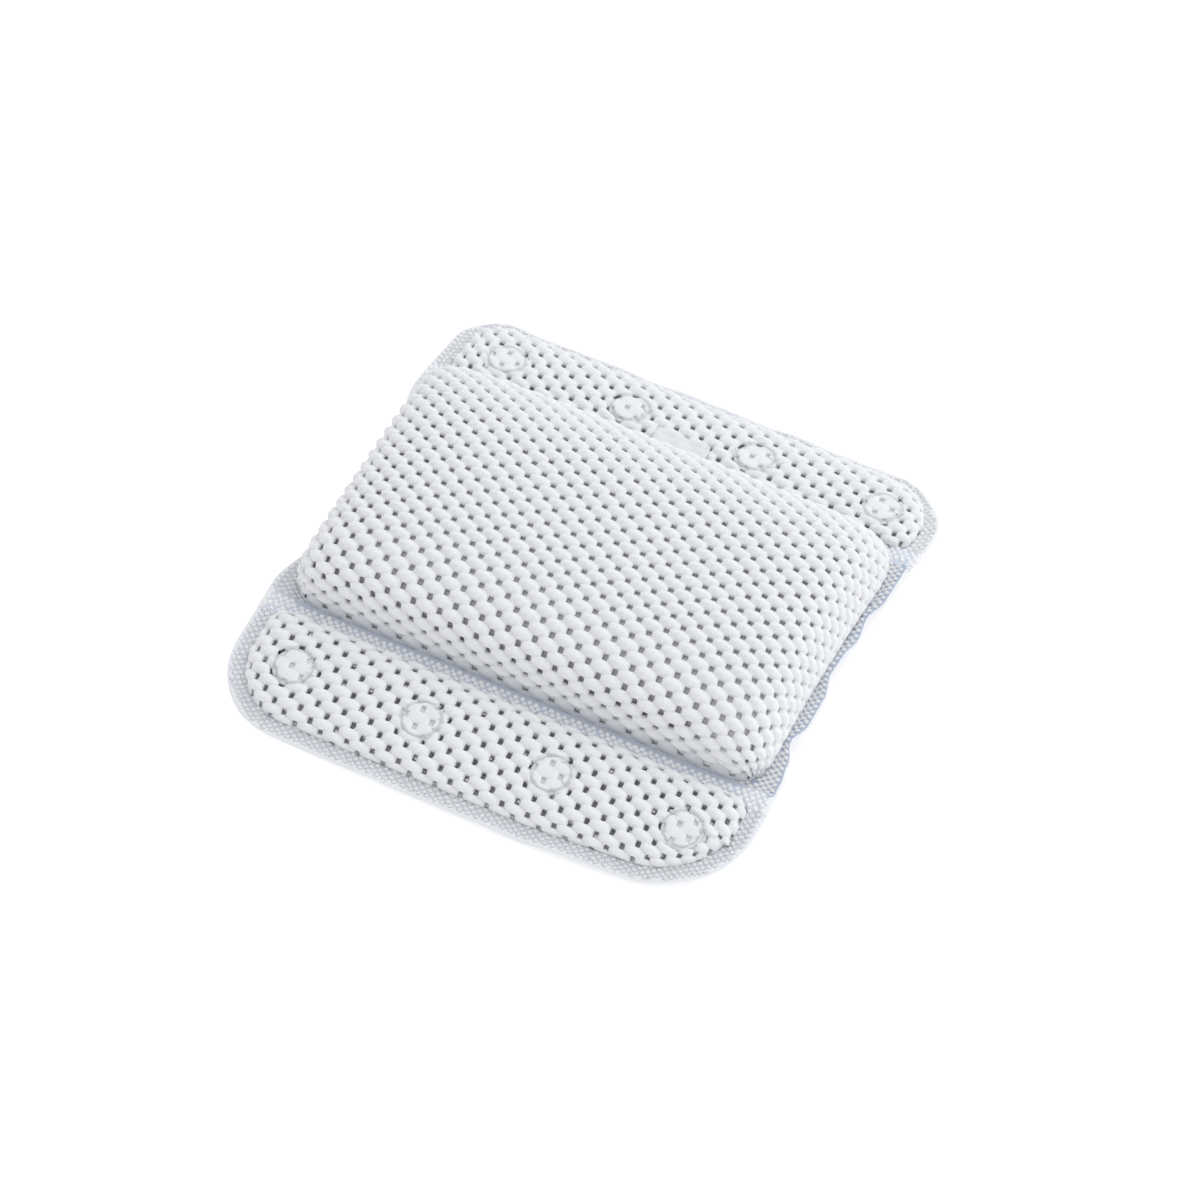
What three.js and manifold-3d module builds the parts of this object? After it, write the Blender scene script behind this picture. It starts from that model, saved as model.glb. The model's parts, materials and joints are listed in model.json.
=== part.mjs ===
// Bath pillow of welded foam mesh: a stuffed cushion between two flaps, which fold along
// flat weld seams and carry the suction cups that hold the pillow to a bath.
// Millimetres, +Z up. The origin lies on the surface under the pillow, below the middle of
// its outline, with +X along the rows of cups and +Y towards the shorter, rear flap.
import * as THREE from "three";
import { mergeVertices } from "three/addons/utils/BufferGeometryUtils.js";
import Module from "manifold-3d";

const wasm = await Module();
wasm.setup();

// Driving dimensions: plan
const overallWidth = 330; // rim to rim, along the rows of cups
const seamSpacing = 200; // between the two fold lines
const frontFlapLength = 80; // fold line to rim
const rearFlapLength = 68.5;
const frontCornerRadius = 45;
const rearCornerRadius = 40;
const rimWidth = 11; // flat weld round the outside
const seamWidth = 9; // flat weld along a fold line
const padStep = 1; // from a seam's edge to the foot of the padding
const sideDraw = 6; // how far the stuffing draws in the cushion's sides
const cornerFill = 0.95; // how far the cushion's padding fills its corners, 1 for all of them

// Driving dimensions: height and thickness
const weldHeight = 16; // middle of the cushion's weld above the surface it lies on
const cushionCrown = 51; // top of the cushion above the middle of its weld
const cushionBulge = 17.5; // underside of the cushion below its weld, before it is pressed flat
const flapCrown = 10; // top of a flap above the middle of its weld
const coverThickness = 6; // beaded foam mesh
const backingThickness = 2.5; // fine foam mesh
const weldThickness = 1.2; // one sheet where it is pressed flat
const fitGap = 0.3; // between pieces that touch
const coreClearance = 1; // between the core and the sheets round it
const widthPower = 5; // of the curve across the cushion, higher for a flatter top
const depthPower = 2;
const shoulderPower = 3.3; // of the curve up its sides, higher for fuller shoulders
const flapSquareness = 3.2; // power of the curve across a flap

// Driving dimensions: suction cups, their weld rings and the label
const cupsInRow = 4;
const cupInset = 42.5; // rim to the middle of a row
const cupSideInset = 38.1; // rim to the middle of the cup at the end of a row
const cupHeight = 7; // underside of the flap to the lip
const lipRadius = 15;
const lipWidth = 2.5;
const lipThickness = 0.8;
const cupWall = 2.8; // at its thick middle
const neckRadius = 4;
const headRadius = 9;
const headThickness = 1.2;
const weldRingRadius = 11.5;
const weldRingWidth = 1.6;
const weldRingDepth = 2;
const labelWidth = 36;
const labelReach = 21; // fold line to the label's free edge
const labelThickness = 0.8;

// How finely round forms are divided
const cornerSteps = 4;
const longSideSteps = 7;
const shortSideSteps = 3;
const turnSteps = 48; // round the cushion, a multiple of 8 so that its corners are met
const cornerCrowding = 0.7; // how much closer these steps stand at its corners
const crownSteps = 9;
const flapCrownSteps = 6;
const roundSteps = 16;
const labelSteps = 7;

const halfWidth = overallWidth / 2;
const halfSeam = seamWidth / 2;
const weldFace = fitGap / 2 + weldThickness; // outer face of a weld, from its middle
const backingTop = backingThickness - weldFace; // inner face of a flap's backing
const lipDrop = weldFace + cupHeight; // lip below the middle of a flap's weld
const cupPitch = (overallWidth - 2 * cupSideInset) / (cupsInRow - 1);

const colours = {
  cover: { color: 0xecedf0, roughness: 0.75, metalness: 0 },
  backing: { color: 0xe2e5ea, roughness: 0.8, metalness: 0 },
  core: { color: 0xd9dade, roughness: 0.95, metalness: 0 },
  cup: { color: 0xe8eef2, roughness: 0.25, metalness: 0 },
  label: { color: 0xf1f1f3, roughness: 0.6, metalness: 0 },
};

function piece(name, geometry, finish) {
  const mesh = new THREE.Mesh(geometry, new THREE.MeshStandardMaterial(colours[finish]));
  mesh.name = name;
  return mesh;
}

// Solids that are cut
function toSolid(geometry) {
  const bare = geometry.clone();
  bare.deleteAttribute("normal");
  bare.deleteAttribute("uv");
  const merged = mergeVertices(bare, 1e-4);
  return new wasm.Manifold(
    new wasm.Mesh({
      numProp: 3,
      vertProperties: new Float32Array(merged.attributes.position.array),
      triVerts: new Uint32Array(merged.index.array),
    }),
  );
}

function toGeometry(solid) {
  const mesh = solid.getMesh();
  const geometry = new THREE.BufferGeometry();
  geometry.setAttribute("position", new THREE.BufferAttribute(mesh.vertProperties, 3));
  geometry.setIndex(new THREE.BufferAttribute(mesh.triVerts, 1));
  geometry.computeVertexNormals();
  return geometry;
}

// Outline of a flap's panel, anticlockwise from its near left corner
function outlinePoints({ half, near, far, nearRadius, farRadius }) {
  const points = [];
  const addCorner = (x, y, radius, start) => {
    for (let i = 0; i <= cornerSteps; i++) {
      const angle = start + (Math.PI / 2) * (i / cornerSteps);
      points.push(new THREE.Vector2(x + radius * Math.cos(angle), y + radius * Math.sin(angle)));
    }
  };
  const addSide = (from, to, steps) => {
    for (let i = 1; i < steps; i++) {
      points.push(new THREE.Vector2().lerpVectors(from, to, i / steps));
    }
  };
  const nearX = half - nearRadius;
  const farX = half - farRadius;
  const lowY = near + nearRadius;
  const highY = far - farRadius;
  const at = (x, y) => new THREE.Vector2(x, y);
  addCorner(-nearX, lowY, nearRadius, Math.PI);
  addSide(at(-nearX, near), at(nearX, near), longSideSteps);
  addCorner(nearX, lowY, nearRadius, 1.5 * Math.PI);
  addSide(at(half, lowY), at(half, highY), shortSideSteps);
  addCorner(farX, highY, farRadius, 0);
  addSide(at(farX, far), at(-farX, far), longSideSteps);
  addCorner(-farX, highY, farRadius, Math.PI / 2);
  addSide(at(-half, highY), at(-half, lowY), shortSideSteps);
  return points;
}

// The same outline drawn in on every side
function inset(panel, distance) {
  return {
    ...panel,
    half: panel.half - distance,
    near: panel.near + distance,
    far: panel.far - distance,
    nearRadius: Math.max(panel.nearRadius - distance, distance / 4),
    farRadius: Math.max(panel.farRadius - distance, distance / 4),
  };
}

// An outline shrunk to a share of its size, towards a spine along its middle
function ring(panel, share, z) {
  const middle = (panel.near + panel.far) / 2;
  const spine = panel.spine ?? 0;
  return outlinePoints(panel).map((point) => {
    const spineX = THREE.MathUtils.clamp(point.x, -spine, spine);
    const x = spineX + share * (point.x - spineX);
    const y = middle + share * (point.y - middle);
    return new THREE.Vector3(x, y, z);
  });
}

// Rings that climb from an outline to a crown along a rounded curve, closest to its foot first
function crownRings(panel, foot, height) {
  const rings = [];
  for (let i = 0; i < flapCrownSteps; i++) {
    const angle = (Math.PI / 2) * (i / flapCrownSteps);
    const share = Math.cos(angle) ** (2 / flapSquareness);
    const climb = Math.sin(angle) ** (2 / flapSquareness);
    rings.push(ring(panel, share, foot + height * climb));
  }
  return rings;
}

// A closed skin through rings, from the middle of the underside out over the edge to the
// middle of the top
function ringLoft(rings) {
  const count = rings[0].length;
  const points = rings.flat();
  const middleOf = (loop) => {
    const sum = loop.reduce((total, point) => total.add(point), new THREE.Vector3());
    return sum.divideScalar(loop.length).setZ(loop[0].z);
  };
  const low = points.push(middleOf(rings[0])) - 1;
  const high = points.push(middleOf(rings.at(-1))) - 1;
  const faces = [];
  for (let i = 0; i < count; i++) {
    const next = (i + 1) % count;
    const last = (rings.length - 1) * count;
    faces.push(low, next, i, high, last + i, last + next);
    for (let k = 0; k < rings.length - 1; k++) {
      const here = k * count;
      const above = here + count;
      faces.push(here + i, here + next, above + next, here + i, above + next, above + i);
    }
  }
  const geometry = new THREE.BufferGeometry().setFromPoints(points);
  geometry.setIndex(faces);
  geometry.computeVertexNormals();
  return geometry;
}

// The cushion, in its own frame at the middle of its weld. Its rings are lines of equal
// height: a share of 1 is the foot of the padding and 0 is the middle of its crown
function cushionRing({ half, depth, fill }, share, z) {
  const points = [];
  for (let i = 0; i < turnSteps; i++) {
    const turn = (2 * Math.PI * i) / turnSteps;
    const angle = turn + (cornerCrowding * Math.sin(4 * turn)) / 4;
    const along = Math.abs(Math.cos(angle));
    const across = Math.abs(Math.sin(angle));
    let low = 0;
    let high = 1 / Math.max(along, across);
    for (let k = 0; k < 50; k++) {
      const reach = (low + high) / 2;
      const sideways = (reach * along) ** widthPower;
      const lengthways = (reach * across) ** depthPower;
      if (sideways + lengthways - fill * sideways * lengthways < share) low = reach;
      else high = reach;
    }
    const y = high * Math.sin(angle);
    const x = high * Math.cos(angle) * (half - sideDraw * (1 - y * y));
    points.push(new THREE.Vector3(x, depth * y, z));
  }
  return points;
}

// Rings from the foot up to the crown, or down where the height is negative
function cushionRings(panel, foot, height) {
  const rings = [];
  for (let i = 0; i < crownSteps; i++) {
    const share = Math.cos((Math.PI / 2) * (i / crownSteps)) ** 1.5;
    rings.push(cushionRing(panel, share, foot + height * (1 - share) ** (1 / shoulderPower)));
  }
  return rings;
}

const cushionHalfDepth = seamSpacing / 2 - halfSeam;
const cushionRim = { half: halfWidth, depth: cushionHalfDepth, fill: 1 };

// The padding's outline, drawn in on every side
function padding(distance) {
  return {
    half: halfWidth - rimWidth - distance,
    depth: cushionHalfDepth - padStep - distance,
    fill: cornerFill,
  };
}

function cushionCover() {
  const ceiling = cushionCrown - coverThickness;
  return ringLoft([
    ...cushionRings(padding(coverThickness), fitGap / 2, ceiling - fitGap / 2).reverse(),
    cushionRing(cushionRim, 1, fitGap / 2),
    cushionRing(cushionRim, 1, weldFace),
    ...cushionRings(padding(0), weldFace, cushionCrown - weldFace),
  ]);
}

// The underside hangs from the weld and lies flat on the surface below it
function bulgeRings(panel, foot, depth, flat) {
  const rings = cushionRings(panel, foot, -depth);
  for (const point of rings.flat()) point.z = Math.max(point.z, flat);
  return rings;
}

function cushionBacking() {
  const outer = bulgeRings(padding(0), -weldFace, cushionBulge - weldFace, -weldHeight);
  const depth = cushionBulge - backingThickness - fitGap / 2;
  const flat = backingThickness - weldHeight;
  return ringLoft([
    ...outer.reverse(),
    cushionRing(cushionRim, 1, -weldFace),
    cushionRing(cushionRim, 1, -fitGap / 2),
    ...bulgeRings(padding(backingThickness), -fitGap / 2, depth, flat),
  ]);
}

function cushionCore() {
  const foot = padding(coverThickness + coreClearance);
  const below = cushionBulge - backingThickness - coreClearance;
  const flat = backingThickness + coreClearance - weldHeight;
  const above = cushionCrown - coverThickness - coreClearance;
  return ringLoft([
    ...bulgeRings(foot, 0, below, flat).reverse(),
    ...cushionRings(foot, 0, above).slice(1),
  ]);
}

function cushion() {
  const group = new THREE.Group();
  group.add(piece("pillow_cover", cushionCover(), "cover"));
  group.add(piece("pillow_core", cushionCore(), "core"));
  group.add(piece("pillow_backing", cushionBacking(), "backing"));
  return group;
}

// A weld seam: both sheets pressed into one flexible strip along a fold line
function weldSeam(name) {
  const depth = seamWidth - 4 * fitGap;
  const strip = new THREE.BoxGeometry(overallWidth, depth, 2 * weldFace);
  return piece(name, strip, "cover");
}

// The flaps, each in its own frame: the fold line along X, +Y out to the rim
function flapPanels(length, cornerRadius) {
  const rim = {
    half: halfWidth,
    near: halfSeam,
    far: length,
    nearRadius: padStep,
    farRadius: cornerRadius,
  };
  const pad = {
    half: halfWidth - rimWidth,
    near: halfSeam + padStep,
    far: length - rimWidth,
    nearRadius: rimWidth / 2,
    farRadius: cornerRadius - rimWidth,
  };
  pad.spine = pad.half - (pad.far - pad.near) / 2;
  return { rim, pad, cupRow: length - cupInset };
}

const cupPlaces = [];
for (let i = 0; i < cupsInRow; i++) cupPlaces.push((i - (cupsInRow - 1) / 2) * cupPitch);

// A solid of revolution about Z from points of radius and height
function turned(profile, x, y) {
  const points = profile.map(([radius, height]) => new THREE.Vector2(radius, height));
  const solid = new THREE.LatheGeometry(points, roundSteps);
  return solid.rotateX(Math.PI / 2).translate(x, y, 0);
}

// The groove that a ring weld leaves in the cover above each cup
function weldRingCutter(x, y) {
  const inner = weldRingRadius - weldRingWidth / 2;
  const outer = weldRingRadius + weldRingWidth / 2;
  const foot = flapCrown - weldRingDepth;
  const clear = flapCrown + weldRingDepth;
  return turned([[inner, foot], [outer, foot], [outer, clear], [inner, clear], [inner, foot]], x, y);
}

// A flap's cover is a flat weld round a crowned, hollow pad
function flapCover({ rim, pad, cupRow }) {
  const ceiling = flapCrown - coverThickness;
  const hollow = inset(pad, coverThickness);
  let solid = toSolid(
    ringLoft([
      ...crownRings(hollow, fitGap / 2, ceiling - fitGap / 2).reverse(),
      ring(rim, 1, fitGap / 2),
      ring(rim, 1, weldFace),
      ...crownRings(pad, weldFace, flapCrown - weldFace),
    ]),
  );
  for (const x of cupPlaces) solid = solid.subtract(toSolid(weldRingCutter(x, cupRow)));
  return toGeometry(solid);
}

// The flap's backing is flat below and stands up into the cover's hollow, with a hole for
// the neck of each cup
function flapBacking({ rim, pad, cupRow }) {
  const hollow = inset(pad, coverThickness + padStep);
  let solid = toSolid(
    ringLoft([
      ring(rim, 1, -weldFace),
      ring(rim, 1, -fitGap / 2),
      ring(hollow, 1, -fitGap / 2),
      ring(hollow, 1, backingTop),
    ]),
  );
  const radius = neckRadius + fitGap;
  const hole = new THREE.CylinderGeometry(radius, radius, 4 * backingThickness, roundSteps);
  hole.rotateX(Math.PI / 2);
  for (const x of cupPlaces) solid = solid.subtract(toSolid(hole.clone().translate(x, cupRow, 0)));
  return toGeometry(solid);
}

// A suction cup is one moulding: a bell that opens downwards, a neck through the backing and
// a flat head inside the flap
function suctionCup(x, y) {
  const lip = -lipDrop;
  const shoulder = -weldFace - fitGap;
  const headFoot = backingTop + fitGap;
  const headTop = headFoot + headThickness;
  const mouth = lipRadius - lipWidth;
  const roof = shoulder - cupWall;
  const bellRise = shoulder - (lip + lipThickness);
  const profile = [
    [0, roof],
    [mouth * 0.45, roof - (roof - lip) * 0.12],
    [mouth * 0.8, roof - (roof - lip) * 0.5],
    [mouth, lip],
    [lipRadius, lip],
    [lipRadius, lip + lipThickness],
    [lipRadius - lipWidth, lip + lipThickness + bellRise * 0.4],
    [(lipRadius + neckRadius) / 2, lip + lipThickness + bellRise * 0.8],
    [neckRadius * 1.3, shoulder],
    [neckRadius, shoulder],
    [neckRadius, headFoot],
    [headRadius, headFoot],
    [headRadius, headTop],
    [0, headTop],
  ];
  return turned(profile, x, y);
}

// Height of the pad's top above the weld, along the middle of a flap
function padTop(pad, y) {
  const middle = (pad.near + pad.far) / 2;
  const share = Math.min(Math.abs(y - middle) / (middle - pad.near), 1);
  const climb = (1 - share ** flapSquareness) ** (1 / flapSquareness);
  return weldFace + (flapCrown - weldFace) * climb;
}

// The blank label comes out of the seam and lies over the edge of the rear flap's pad
function label({ pad }) {
  const start = pad.near + labelThickness + 2 * fitGap;
  const lower = [];
  for (let i = 0; i <= labelSteps; i++) {
    const y = start + (labelReach - start) * (i / labelSteps);
    lower.push(new THREE.Vector2(y, padTop(pad, y) + 2 * fitGap));
  }
  const upper = lower.map((point) => new THREE.Vector2(point.x, point.y + labelThickness));
  const side = new THREE.Shape([...lower, ...upper.reverse()]);
  const solid = new THREE.ExtrudeGeometry(side, { depth: labelWidth, bevelEnabled: false });
  solid.translate(0, 0, -labelWidth / 2);
  // The side view is drawn in Y and Z, and its thickness runs along X
  solid.applyMatrix4(new THREE.Matrix4().set(0, 0, 1, 0, 1, 0, 0, 0, 0, 1, 0, 0, 0, 0, 0, 1));
  return solid;
}

// A flap droops from its fold line until the lips of its cups touch the surface
function droopOf({ cupRow }) {
  const out = cupRow + lipRadius;
  return Math.asin(weldHeight / Math.hypot(out, lipDrop)) - Math.atan2(lipDrop, out);
}

function flap(name, panels, droop) {
  const group = new THREE.Group();
  group.rotation.order = "ZYX";
  group.rotation.x = -droop;
  group.add(piece(`${name}_flap_cover`, flapCover(panels), "cover"));
  group.add(piece(`${name}_flap_backing`, flapBacking(panels), "backing"));
  return group;
}

const frontPanels = flapPanels(frontFlapLength, frontCornerRadius);
const rearPanels = flapPanels(rearFlapLength, rearCornerRadius);
const frontDroop = droopOf(frontPanels);
const rearDroop = droopOf(rearPanels);
const reachOf = (length, droop) => length * Math.cos(droop) + weldFace * Math.sin(droop);
const frontReach = reachOf(frontFlapLength, frontDroop);
const rearReach = reachOf(rearFlapLength, rearDroop);
const overallDepth = frontReach + seamSpacing + rearReach;
const frontFold = frontReach - overallDepth / 2;
const rearFold = frontFold + seamSpacing;

const pillow = new THREE.Group();

const stuffed = cushion();
stuffed.position.set(0, (frontFold + rearFold) / 2, weldHeight);
pillow.add(stuffed);

for (const [name, y] of [["front_weld_seam", frontFold], ["rear_weld_seam", rearFold]]) {
  const seam = weldSeam(name);
  seam.position.set(0, y, weldHeight);
  pillow.add(seam);
}

const frontFlap = flap("front", frontPanels, frontDroop);
frontFlap.position.set(0, frontFold, weldHeight);
frontFlap.rotation.z = Math.PI;
pillow.add(frontFlap);

const rearFlap = flap("rear", rearPanels, rearDroop);
rearFlap.position.set(0, rearFold, weldHeight);
rearFlap.add(piece("label_tag", label(rearPanels), "label"));
pillow.add(rearFlap);

// Cups are numbered from the left, which in the front flap's frame is +X
cupPlaces.forEach((x, i) => {
  frontFlap.add(piece(`front_cup_${i + 1}`, suctionCup(-x, frontPanels.cupRow), "cup"));
  rearFlap.add(piece(`rear_cup_${i + 1}`, suctionCup(x, rearPanels.cupRow), "cup"));
});

export default pillow;
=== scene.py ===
import json
import math
from functools import partial

import bmesh
import bpy
import numpy as np
from mathutils import Matrix, Vector


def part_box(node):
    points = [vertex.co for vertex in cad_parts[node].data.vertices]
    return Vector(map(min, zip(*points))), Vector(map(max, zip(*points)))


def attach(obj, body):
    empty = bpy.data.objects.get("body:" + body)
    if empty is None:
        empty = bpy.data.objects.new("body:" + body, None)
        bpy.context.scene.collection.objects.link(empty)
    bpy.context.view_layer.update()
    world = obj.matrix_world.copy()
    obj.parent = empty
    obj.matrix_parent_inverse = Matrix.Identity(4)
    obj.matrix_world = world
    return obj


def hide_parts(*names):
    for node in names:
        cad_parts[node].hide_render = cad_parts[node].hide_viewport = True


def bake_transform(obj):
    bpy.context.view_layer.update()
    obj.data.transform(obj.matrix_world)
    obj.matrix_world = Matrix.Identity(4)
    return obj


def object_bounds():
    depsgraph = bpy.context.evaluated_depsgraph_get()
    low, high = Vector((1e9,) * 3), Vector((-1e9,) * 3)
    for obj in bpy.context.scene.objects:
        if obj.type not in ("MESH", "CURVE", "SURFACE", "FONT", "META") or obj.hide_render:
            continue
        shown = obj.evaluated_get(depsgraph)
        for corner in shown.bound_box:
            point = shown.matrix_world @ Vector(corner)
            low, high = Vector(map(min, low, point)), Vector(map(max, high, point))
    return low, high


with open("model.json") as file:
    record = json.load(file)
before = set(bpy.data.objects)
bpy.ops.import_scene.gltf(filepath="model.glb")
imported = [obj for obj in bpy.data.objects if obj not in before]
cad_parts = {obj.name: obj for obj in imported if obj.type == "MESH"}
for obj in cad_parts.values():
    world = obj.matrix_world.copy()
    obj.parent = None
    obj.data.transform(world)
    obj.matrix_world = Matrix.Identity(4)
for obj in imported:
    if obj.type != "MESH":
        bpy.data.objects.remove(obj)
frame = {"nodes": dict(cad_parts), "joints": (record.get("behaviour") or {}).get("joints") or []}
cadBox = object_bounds()
mm = 0.001
joints = {joint["name"]: joint for joint in frame["joints"]}
print("frame loaded:", len(frame["nodes"]), "nodes")

# Camera
cameraView = {
    "azimuth": 27.35,
    "elevation": 51.64,
    "distance": 3.048,
    "lookAt": (0, 0, 0.0205),
    "lookPixel": (591.1, 583.7),  # where that point lies in the photograph
    "focalPixels": 5171,
    "imagePixels": 1200,
    "sensorWidth": 36,
}


def makeCamera(view):
    turn = math.radians(view["azimuth"])
    lift = math.radians(view["elevation"])
    back = Vector((math.sin(turn) * math.cos(lift), -math.cos(turn) * math.cos(lift), math.sin(lift)))
    size = view["imagePixels"]
    data = bpy.data.cameras.new("photoCamera")
    data.sensor_width = view["sensorWidth"]
    data.lens = view["focalPixels"] / size * view["sensorWidth"]
    data.shift_x = 0.5 - view["lookPixel"][0] / size
    data.shift_y = view["lookPixel"][1] / size - 0.5
    camera = bpy.data.objects.new("photoCamera", data)
    camera.location = Vector(view["lookAt"]) + back * view["distance"]
    camera.rotation_mode = "QUATERNION"
    camera.rotation_quaternion = (-back).to_track_quat("-Z", "Y")
    bpy.context.scene.collection.objects.link(camera)
    bpy.context.scene.camera = camera


makeCamera(cameraView)
print("camera ready")


# Node helpers, for materials and for geometry
def addNode(tree, kind, inputs=None, **settings):
    node = tree.nodes.new(kind)
    for name, value in settings.items():
        setattr(node, name, value)
    for key, value in (inputs or {}).items():
        if isinstance(value, bpy.types.NodeSocket):
            tree.links.new(value, node.inputs[key])
        else:
            node.inputs[key].default_value = value
    return node


def compute(tree, operation, first, second=0.0):
    return addNode(tree, "ShaderNodeMath", {0: first, 1: second}, operation=operation).outputs[0]


def computeVector(tree, operation, first, second):
    key = "Scale" if operation == "SCALE" else 1
    return addNode(tree, "ShaderNodeVectorMath", {0: first, key: second}, operation=operation).outputs[0]


def attribute(tree, name):
    return addNode(tree, "ShaderNodeAttribute", attribute_name=name).outputs["Fac"]


# Materials
def newMaterial(name, roughness, **sockets):
    material = bpy.data.materials.new(name)
    material.use_nodes = True
    shader = material.node_tree.nodes["Principled BSDF"]
    shader.inputs["Roughness"].default_value = roughness
    for key, value in sockets.items():
        shader.inputs[key.replace("_", " ")].default_value = value
    return material, material.node_tree, shader


def grey(value, blue=0.0):
    return (value * (1 - blue), value * (1 - blue * 0.66), value, 1)


def addRamp(tree, target, factor, stops):
    node = addNode(tree, "ShaderNodeValToRGB", {"Fac": factor})
    elements = node.color_ramp.elements
    elements[0].position, elements[0].color = stops[0]
    elements[1].position, elements[1].color = stops[-1]
    for position, color in stops[1:-1]:
        elements.new(position).color = color
    tree.links.new(node.outputs["Color"], target)


def addBump(tree, shader, height, strength, depth):
    inputs = {"Height": height, "Strength": strength, "Distance": depth * mm}
    bump = addNode(tree, "ShaderNodeBump", inputs)
    tree.links.new(bump.outputs["Normal"], shader.inputs["Normal"])


def addGrain(tree, shader, size, strength, depth):
    place = addNode(tree, "ShaderNodeTexCoord").outputs["Object"]
    inputs = {"Vector": place, "Scale": 1 / (size * mm), "Detail": 3}
    grain = addNode(tree, "ShaderNodeTexNoise", inputs).outputs["Fac"]
    addBump(tree, shader, grain, strength, depth)
    return grain


# Foamed beads, coloured by their depth in the sheet from the crown through the creases to the foot of the
# holes: painted light and shade, which lightens or darkens the creases and holes by how light falls into
# them
foam = {
    "roughness": 0.62,
    "specular": 0.18,
    "softness": 0.55,  # how much light goes through the foam, and how far
    "softReach": 2.5,
    "depths": (0.0, 0.3, 0.56, 0.8),  # start and end of the crown's colour, the crease's and the foot's: painted light and shade by depth
    # bluish grey of melted foam at the welds, partly painted shade
    "meltedAndShaded": (0.54, 0.14),
    "grain": (0.7, 0.25, 0.06),
}


def beadMaterial(name, crown, crease, foot):
    light = {"Specular_IOR_Level": foam["specular"], "Subsurface_Radius": (1, 1, 1)}
    soft = {"Subsurface_Weight": foam["softness"], "Subsurface_Scale": foam["softReach"] * mm}
    material, tree, shader = newMaterial(name, foam["roughness"], **light, **soft)
    # over the painted light and shade by depth: the tone of melted foam at the welds, partly painted shade
    inputs = {"Factor": attribute(tree, "melt"), 7: grey(*foam["meltedAndShaded"])}
    mix = addNode(tree, "ShaderNodeMix", inputs, data_type="RGBA")
    stops = list(zip(foam["depths"], (crown, crown, crease, foot)))
    addRamp(tree, mix.inputs[6], attribute(tree, "depth"), stops)
    tree.links.new(mix.outputs[2], shader.inputs["Base Color"])
    addGrain(tree, shader, *foam["grain"])
    return material


# Welds: sizes in millimetres
weld = {
    "rimWidth": 10.5,
    "seamWidth": 9,
    "padStep": 1,
    "padNear": 2.4,  # from the fold line to a flap's padding
    "seamRise": 0.12,  # of a seam over the rims that meet it
    "beadRise": 0.9,
    "dotEdge": 2.4,
    "dotShift": -0.1,  # of the rows of dots from the fold line towards the flap, and where they start
    "dotFrom": -3.4,
    "dotEnd": (12, 20),  # from a seam's end, where it is dotted and light all across, and where no longer; further in, its ground is painted darker, painted shade
    # tone of a seam's ground away from its ends: painted shade in the channel between the cushion and the
    # flap
    "seamShadeTone": 0.25,
    # ridges across the rim's outer band: their height, spacing, slant and where they are, and the painted
    # shade in their valleys
    "ridge": 0.5,
    "ridgePitch": 3.4,
    "ridgeSlant": 0.7,
    "ridgeShade": 0.18,
    "ridgeFrom": (0.2, 1.0),
    "ridgeTo": (3.6, 5.2),
    "tone": 0.35,  # of a seam's ground, from the darkest to the white of the outer band; the darker bluish tones are partly the melted film's own colour, partly painted shade
    "face": 1.35,
    "foot": 0.4,  # where the squeezed beads end, below the weld's own face
    "tuck": 2,  # how far a weld runs on below the padding
    "margin": 4,  # of the surface that carries dots, beyond the dots
    # distance from the outer edge and height of the weld's top, and of its underside
    "top": [(0, 0.0), (0.3, 0.9), (1.2, 1.35), (3, 1.45), (4.6, 1.3), (5.6, 0.8), (7, 0.55), (99, 0.55)],
    "under": [(0, 0.0), (0.2, -0.8), (1.4, -1.3), (99, -1.2)],
    "ridgeWander": (0.9, 0.31),  # how far the ridges wander along the rim, and how fast
    "band": 7,  # width of the shaped part of a rim, and the points across it
    "bandSteps": 15,
    "bandFade": 0.62,  # where the outer band's white starts to fade, as a share of its width
    "beadEnd": 1.4,  # from a rim's end to its first small beads
    # points along and across a seam, and of the surface that carries its dots
    "seamSteps": (220, 17),
    "seamGrid": (300, 18),
}


# A material with a fine grain, whose colour follows that grain or an attribute of the mesh
def grainMaterial(name, roughness, grain, stops=(), source=None, **sockets):
    material, tree, shader = newMaterial(name, roughness, **sockets)
    factor = addGrain(tree, shader, *grain)
    if stops:
        addRamp(tree, shader.inputs["Base Color"], attribute(tree, source) if source else factor, stops)
    return material


# the weld's ground: its tone runs from a dark blue-grey, partly painted shade, to the white of the outer
# band
def groundMaterial():
    stops = [(0.0, grey(0.55, 0.3)), (weld["tone"], grey(0.72, 0.17)), (1.0, grey(0.82, 0.03))]
    return grainMaterial("weldedGround", 0.5, (1.5, 0.3, 0.15), stops, "tone", Specular_IOR_Level=0.35)


def foamMaterial(name, value, blue, size):
    stops = [(0.3, grey(value * 0.9, blue)), (0.7, grey(value, blue))]
    return grainMaterial(name, 0.8, (size, 0.5, 0.3), stops, Specular_IOR_Level=0.2)


def vinylMaterial():
    clear = {"Base_Color": (0.9, 0.94, 0.96, 1), "Transmission_Weight": 0.75, "IOR": 1.45}
    return grainMaterial("softVinyl", 0.16, (3, 0.1, 0.1), **clear)


def tapeMaterial():
    material, tree, shader = newMaterial("labelTape", 0.7, Specular_IOR_Level=0.2)
    place = addNode(tree, "ShaderNodeTexCoord").outputs["Object"]
    inputs = {"Vector": place, "Scale": 1 / (1.6 * mm)}
    weave = addNode(tree, "ShaderNodeTexWave", inputs, bands_direction="X").outputs["Fac"]
    addBump(tree, shader, weave, 0.3, 0.1)
    stops = [(0.0, grey(0.74, 0.02)), (1.0, grey(0.79, 0.0))]
    addRamp(tree, shader.inputs["Base Color"], weave, stops)
    return material


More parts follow.
